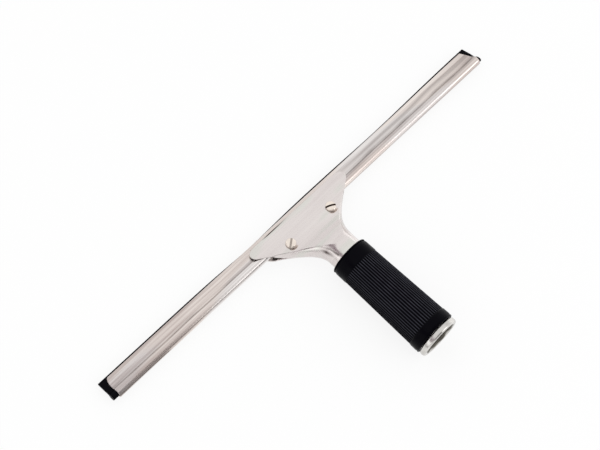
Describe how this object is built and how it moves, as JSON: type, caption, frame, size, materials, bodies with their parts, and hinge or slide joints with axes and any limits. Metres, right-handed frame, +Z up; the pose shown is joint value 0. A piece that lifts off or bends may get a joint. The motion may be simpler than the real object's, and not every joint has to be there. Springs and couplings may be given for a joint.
{
  "type": "window cleaning squeegee",
  "caption": "Window squeegee: rubber strip in a folded steel channel, clamped in the flared head of a pressed steel handle with a ribbed rubber grip and an open pole socket.",
  "frame": {"origin": "centre of the bounding box's base, with the tool lying on a table, screws up", "axes": "+X along the channel, +Y from the grip to the wiping edge, +Z up"},
  "size_m": [0.3568, 0.135, 0.0323],
  "materials": {
    "channel_steel": "stainless sheet, brushed along its length",
    "shell_steel": "stainless sheet, satin on the flats and polished on the neck",
    "screw_steel": "bright, slightly warm plated steel",
    "nut_steel": "dull zinc-plated steel",
    "ferrule_steel": "bright rolled steel",
    "strip_rubber": "smooth black natural rubber",
    "grip_rubber": "moulded black rubber, low sheen"
  },
  "bodies": {
    "handle": {"upper_shell": "shell_steel", "lower_shell": "shell_steel", "clinch_nut_left": "nut_steel", "clinch_nut_right": "nut_steel", "rubber_grip": "grip_rubber", "socket_ferrule": "ferrule_steel"},
    "channel": {"channel": "channel_steel"},
    "strip": {"rubber_blade": "strip_rubber"},
    "left_screw": {"clamp_screw_left": "screw_steel"},
    "right_screw": {"clamp_screw_right": "screw_steel"}
  },
  "joints": [
    {"name": "channel_slide", "type": "slide", "parent": "handle", "child": "channel", "axis": [1, 0, 0], "range_m": [-0.13, 0.12]},
    {"name": "strip_slide", "type": "slide", "parent": "channel", "child": "strip", "axis": [1, 0, 0], "range_m": [-0.3, 0.3]},
    {"name": "left_screw_turn", "type": "hinge", "parent": "handle", "child": "left_screw", "pos_m": [-0.02329, 0.04727, 0.01034], "axis": [0, 0.0369, 0.9993], "range_deg": [0, 720]},
    {"name": "right_screw_turn", "type": "hinge", "parent": "handle", "child": "right_screw", "pos_m": [0.01531, 0.04727, 0.01034], "axis": [0, 0.0369, 0.9993], "range_deg": [0, 720]}
  ]
}
